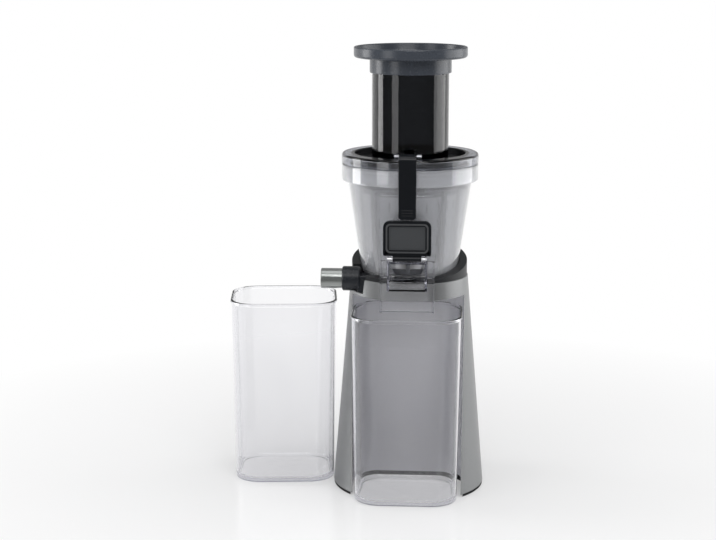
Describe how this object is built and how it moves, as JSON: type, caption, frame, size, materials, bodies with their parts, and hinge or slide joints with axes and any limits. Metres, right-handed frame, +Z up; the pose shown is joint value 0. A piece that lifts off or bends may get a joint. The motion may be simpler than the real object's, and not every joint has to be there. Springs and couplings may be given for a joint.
{
  "type": "cold press juicer",
  "caption": "Upright cold press juicer: tapered motor base, smoked bowl with pressing screw and strainer, tall feed tube and tray, flip cap spout, juice and pulp jugs.",
  "frame": {"origin": "on the counter, on the upright axis of the bowl and the pressing screw", "axes": "+Z up along the screw, the spout faces -Y, the pulp outlet is towards -X"},
  "size_m": [0.2479, 0.1586, 0.42],
  "materials": {
    "housing_silver": "satin metallic paint",
    "frame_grey": "fine moulded grain",
    "black_moulding": "fine moulded grain",
    "foot_rubber": "matt",
    "screw_steel": "bright",
    "bush_bronze": "machined",
    "machined_steel": "ground",
    "motor_steel": "plated",
    "board_green": "lacquered",
    "board_parts": "mixed",
    "rocker_black": "polished",
    "gear_nylon": "waxy",
    "magnet_steel": "plated",
    "silicone_grey": "matt silicone",
    "smoke_clear": "polished, tinted clear",
    "smoke_black": "polished, dark tint",
    "clear": "polished, clear",
    "black_gloss": "polished",
    "tray_slate": "satin",
    "chute_slate": "satin",
    "outlet_grey": "satin",
    "sieve_steel": "pressed sheet",
    "sieve_frame": "moulded",
    "screw_plastic": "glass-filled"
  },
  "bodies": {
    "base": {"base_shell": "housing_silver", "niche_liner": "frame_grey", "base_plate": "black_moulding", "foot_ring": "foot_rubber", "base_screws": "screw_steel", "gear_case": "black_moulding", "thrust_washer": "bush_bronze", "output_bearing": "machined_steel", "shaft_seal": "silicone_grey", "deck_plate": "black_moulding", "deck_screws": "screw_steel", "deck_collar": "black_moulding", "gearhead": "motor_steel", "motor_can": "motor_steel", "motor_cap": "black_moulding", "control_board": "board_green", "board_parts": "board_parts", "reed_switch": "black_moulding", "switch_bezel": "black_moulding", "cord_gland": "black_moulding"},
    "rocker": {"switch_rocker": "rocker_black"},
    "drive": {"output_gear": "gear_nylon", "drive_shaft": "machined_steel"},
    "pinion": {"pinion": "machined_steel", "pinion_shaft": "machined_steel"},
    "bowl": {"bowl": "smoke_clear", "bowl_seal": "silicone_grey", "bowl_magnet": "magnet_steel", "juice_spout": "clear", "drip_guard": "clear", "cap_pin": "screw_steel", "pulp_chute": "chute_slate", "pulp_tube": "outlet_grey"},
    "cap": {"spout_cap": "black_gloss", "cap_seal": "silicone_grey"},
    "strainer": {"strainer_frame": "sieve_frame", "strainer_mesh": "sieve_steel"},
    "auger": {"auger": "screw_plastic"},
    "lid": {"lid_ring": "smoke_clear", "lid_seal": "silicone_grey", "feed_tube": "smoke_black", "tube_spider": "smoke_black", "auger_bush": "bush_bronze", "lock_pin": "screw_steel"},
    "lock": {"lock_arm": "black_gloss"},
    "tray": {"hopper_tray": "tray_slate"},
    "juice_jug": {"juice_jug": "clear"},
    "pulp_jug": {"pulp_jug": "clear"}
  },
  "joints": [
    {"name": "auger_spin", "type": "hinge", "parent": "strainer", "child": "auger", "pos_m": [0, 0, 0.25], "axis": [0, 0, 1], "continuous": true},
    {"name": "drive_spin", "type": "hinge", "parent": "base", "child": "drive", "pos_m": [0, 0, 0.2], "axis": [0, 0, 1], "continuous": true},
    {"name": "pinion_spin", "type": "hinge", "parent": "base", "child": "pinion", "pos_m": [0, 0.03125, 0.2], "axis": [0, 0, 1], "continuous": true},
    {"name": "bowl_lift", "type": "slide", "parent": "base", "child": "bowl", "axis": [0, 0, 1], "range_m": [0, 0.06]},
    {"name": "strainer_lift", "type": "slide", "parent": "bowl", "child": "strainer", "axis": [0, 0, 1], "range_m": [0, 0.11]},
    {"name": "lid_lift", "type": "slide", "parent": "strainer", "child": "lid", "axis": [0, 0, 1], "range_m": [0, 0.05]},
    {"name": "tray_lift", "type": "slide", "parent": "lid", "child": "tray", "axis": [0, 0, 1], "range_m": [0, 0.03]},
    {"name": "lock_swing", "type": "hinge", "parent": "lid", "child": "lock", "pos_m": [0, -0.0546, 0.3242], "axis": [-1, 0, 0], "range_deg": [0, 80]},
    {"name": "cap_flip", "type": "hinge", "parent": "bowl", "child": "cap", "pos_m": [0, -0.067, 0.232], "axis": [1, 0, 0], "range_deg": [0, 178]},
    {"name": "switch_tilt", "type": "hinge", "parent": "base", "child": "rocker", "pos_m": [0, 0.0681, 0.04], "axis": [1, 0, 0], "range_deg": [-11, 11]},
    {"name": "juice_jug_slide", "type": "slide", "parent": "base", "child": "juice_jug", "axis": [0, -1, 0], "range_m": [0, 0.12]},
    {"name": "pulp_jug_slide", "type": "slide", "parent": "base", "child": "pulp_jug", "axis": [-1, 0, 0], "range_m": [0, 0.1]}
  ],
  "couplings": [
    {"joint": "drive_spin", "follows": "auger_spin", "ratio": 1},
    {"joint": "pinion_spin", "follows": "auger_spin", "ratio": -2.125}
  ]
}
